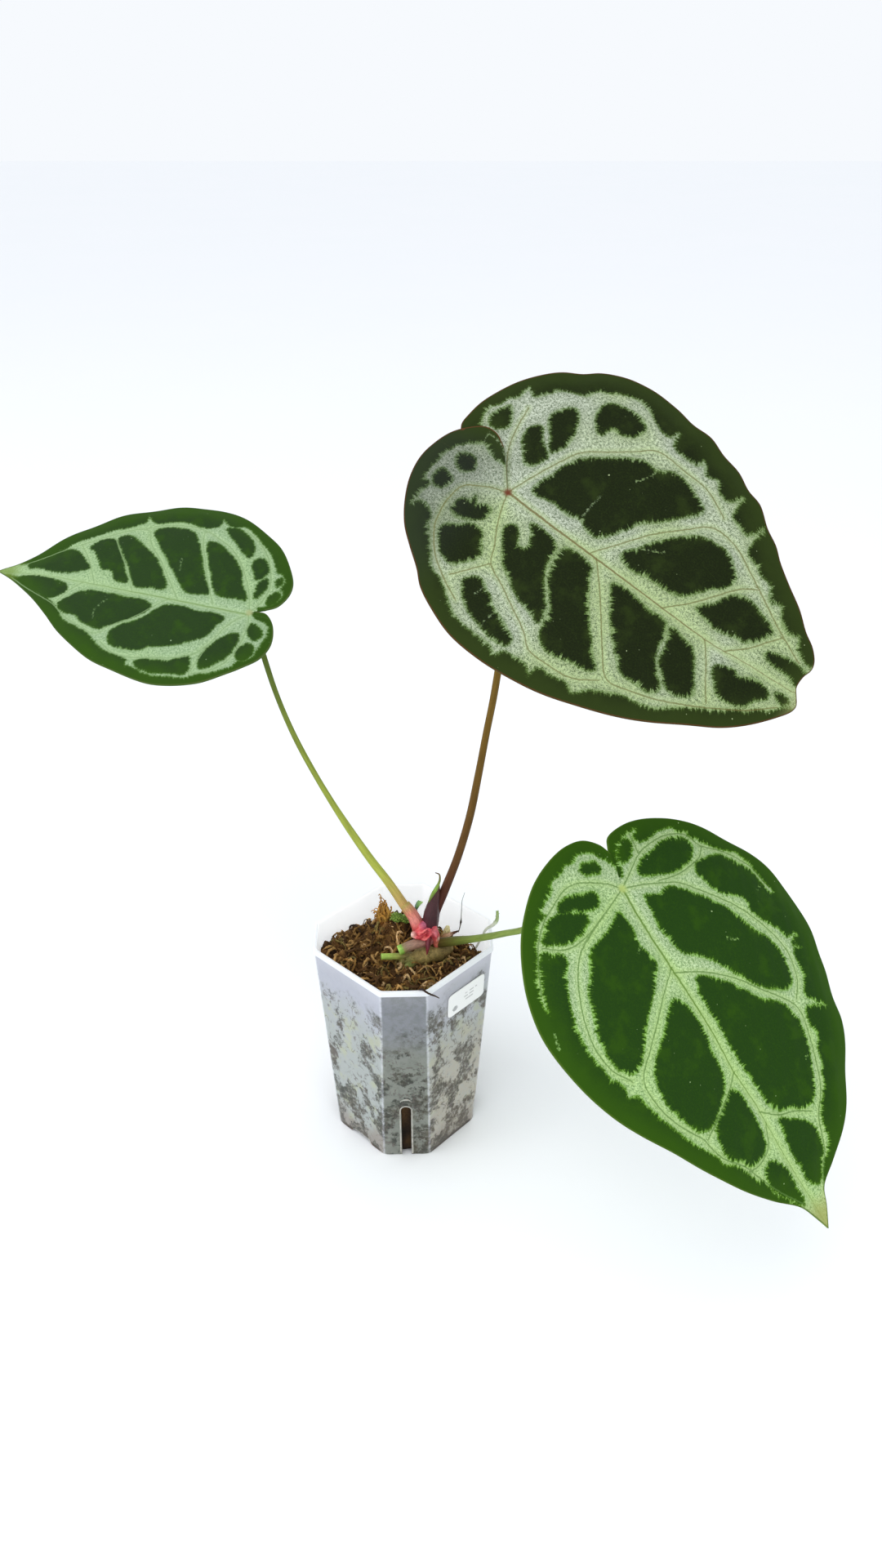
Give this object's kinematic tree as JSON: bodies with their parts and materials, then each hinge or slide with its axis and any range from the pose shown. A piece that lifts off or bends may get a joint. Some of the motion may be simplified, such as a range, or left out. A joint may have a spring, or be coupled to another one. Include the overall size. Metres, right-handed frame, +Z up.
{
  "type": "anthurium hybrid, velvet-leaved, in a square slit pot",
  "caption": "Velvet-leaved anthurium hybrid with heart-shaped, silver-veined leaves on slender petioles, growing in moss in a clear square slit nursery pot",
  "frame": {"origin": "centre of the pot's foot, on the surface it stands on", "axes": "+Z up along the pot's axis; +X to the right and +Y away from the viewer who faces one chamfered corner of the pot"},
  "size_m": [0.3592, 0.2571, 0.3402],
  "materials": {
    "clear_plastic": "frosted, translucent, stained brown from inside",
    "label_paper": "smooth white sticker",
    "brown_moss": "fibrous damp moss",
    "golden_moss": "fibrous dry moss",
    "live_moss": "soft live moss",
    "seedling": "soft leaf",
    "sprout_green": "soft pale green",
    "root_brown": "dull dark brown",
    "stem_olive": "ringed olive brown",
    "stub_pink_brown": "pinkish brown skin, pale green cut end",
    "stub_green": "green skin",
    "sheath_pink": "satin pink",
    "cataphyll_burgundy": "satin burgundy",
    "tip_green": "satin green",
    "bud_red": "satin red",
    "scale_dark_red": "satin dark red",
    "dry_scale_brown": "papery dry brown",
    "dry_thread_grey": "dry grey thread",
    "petiole_brown": "satin olive brown",
    "petiole_green": "satin green",
    "blade_dark": "velvet, dark olive with silver veins",
    "blade_bright": "velvet, deep green with silver veins",
    "blade_soft": "velvet, mid green with silver veins"
  },
  "bodies": {
    "root": {"pot": "clear_plastic", "label": "label_paper", "potting_moss": "brown_moss", "moss_tuft": "golden_moss", "green_moss": "live_moss", "seedling_leaf": "seedling", "sprout": "sprout_green", "aerial_root_1": "root_brown", "aerial_root_2": "root_brown", "rim_strand": "root_brown", "stem": "stem_olive", "upper_cut_stub": "stub_pink_brown", "lower_cut_stub": "stub_green", "pink_sheath": "sheath_pink", "cataphyll": "cataphyll_burgundy", "cataphyll_tip": "tip_green", "bud_scales": "bud_red", "dark_scale": "scale_dark_red", "dry_scale": "dry_scale_brown", "dry_thread": "dry_thread_grey", "petiole_upper_right": "petiole_brown", "petiole_lower_right": "petiole_green", "petiole_left": "petiole_green", "blade_upper_right": "blade_dark", "blade_lower_right": "blade_bright", "blade_left": "blade_soft"}
  },
  "joints": []
}
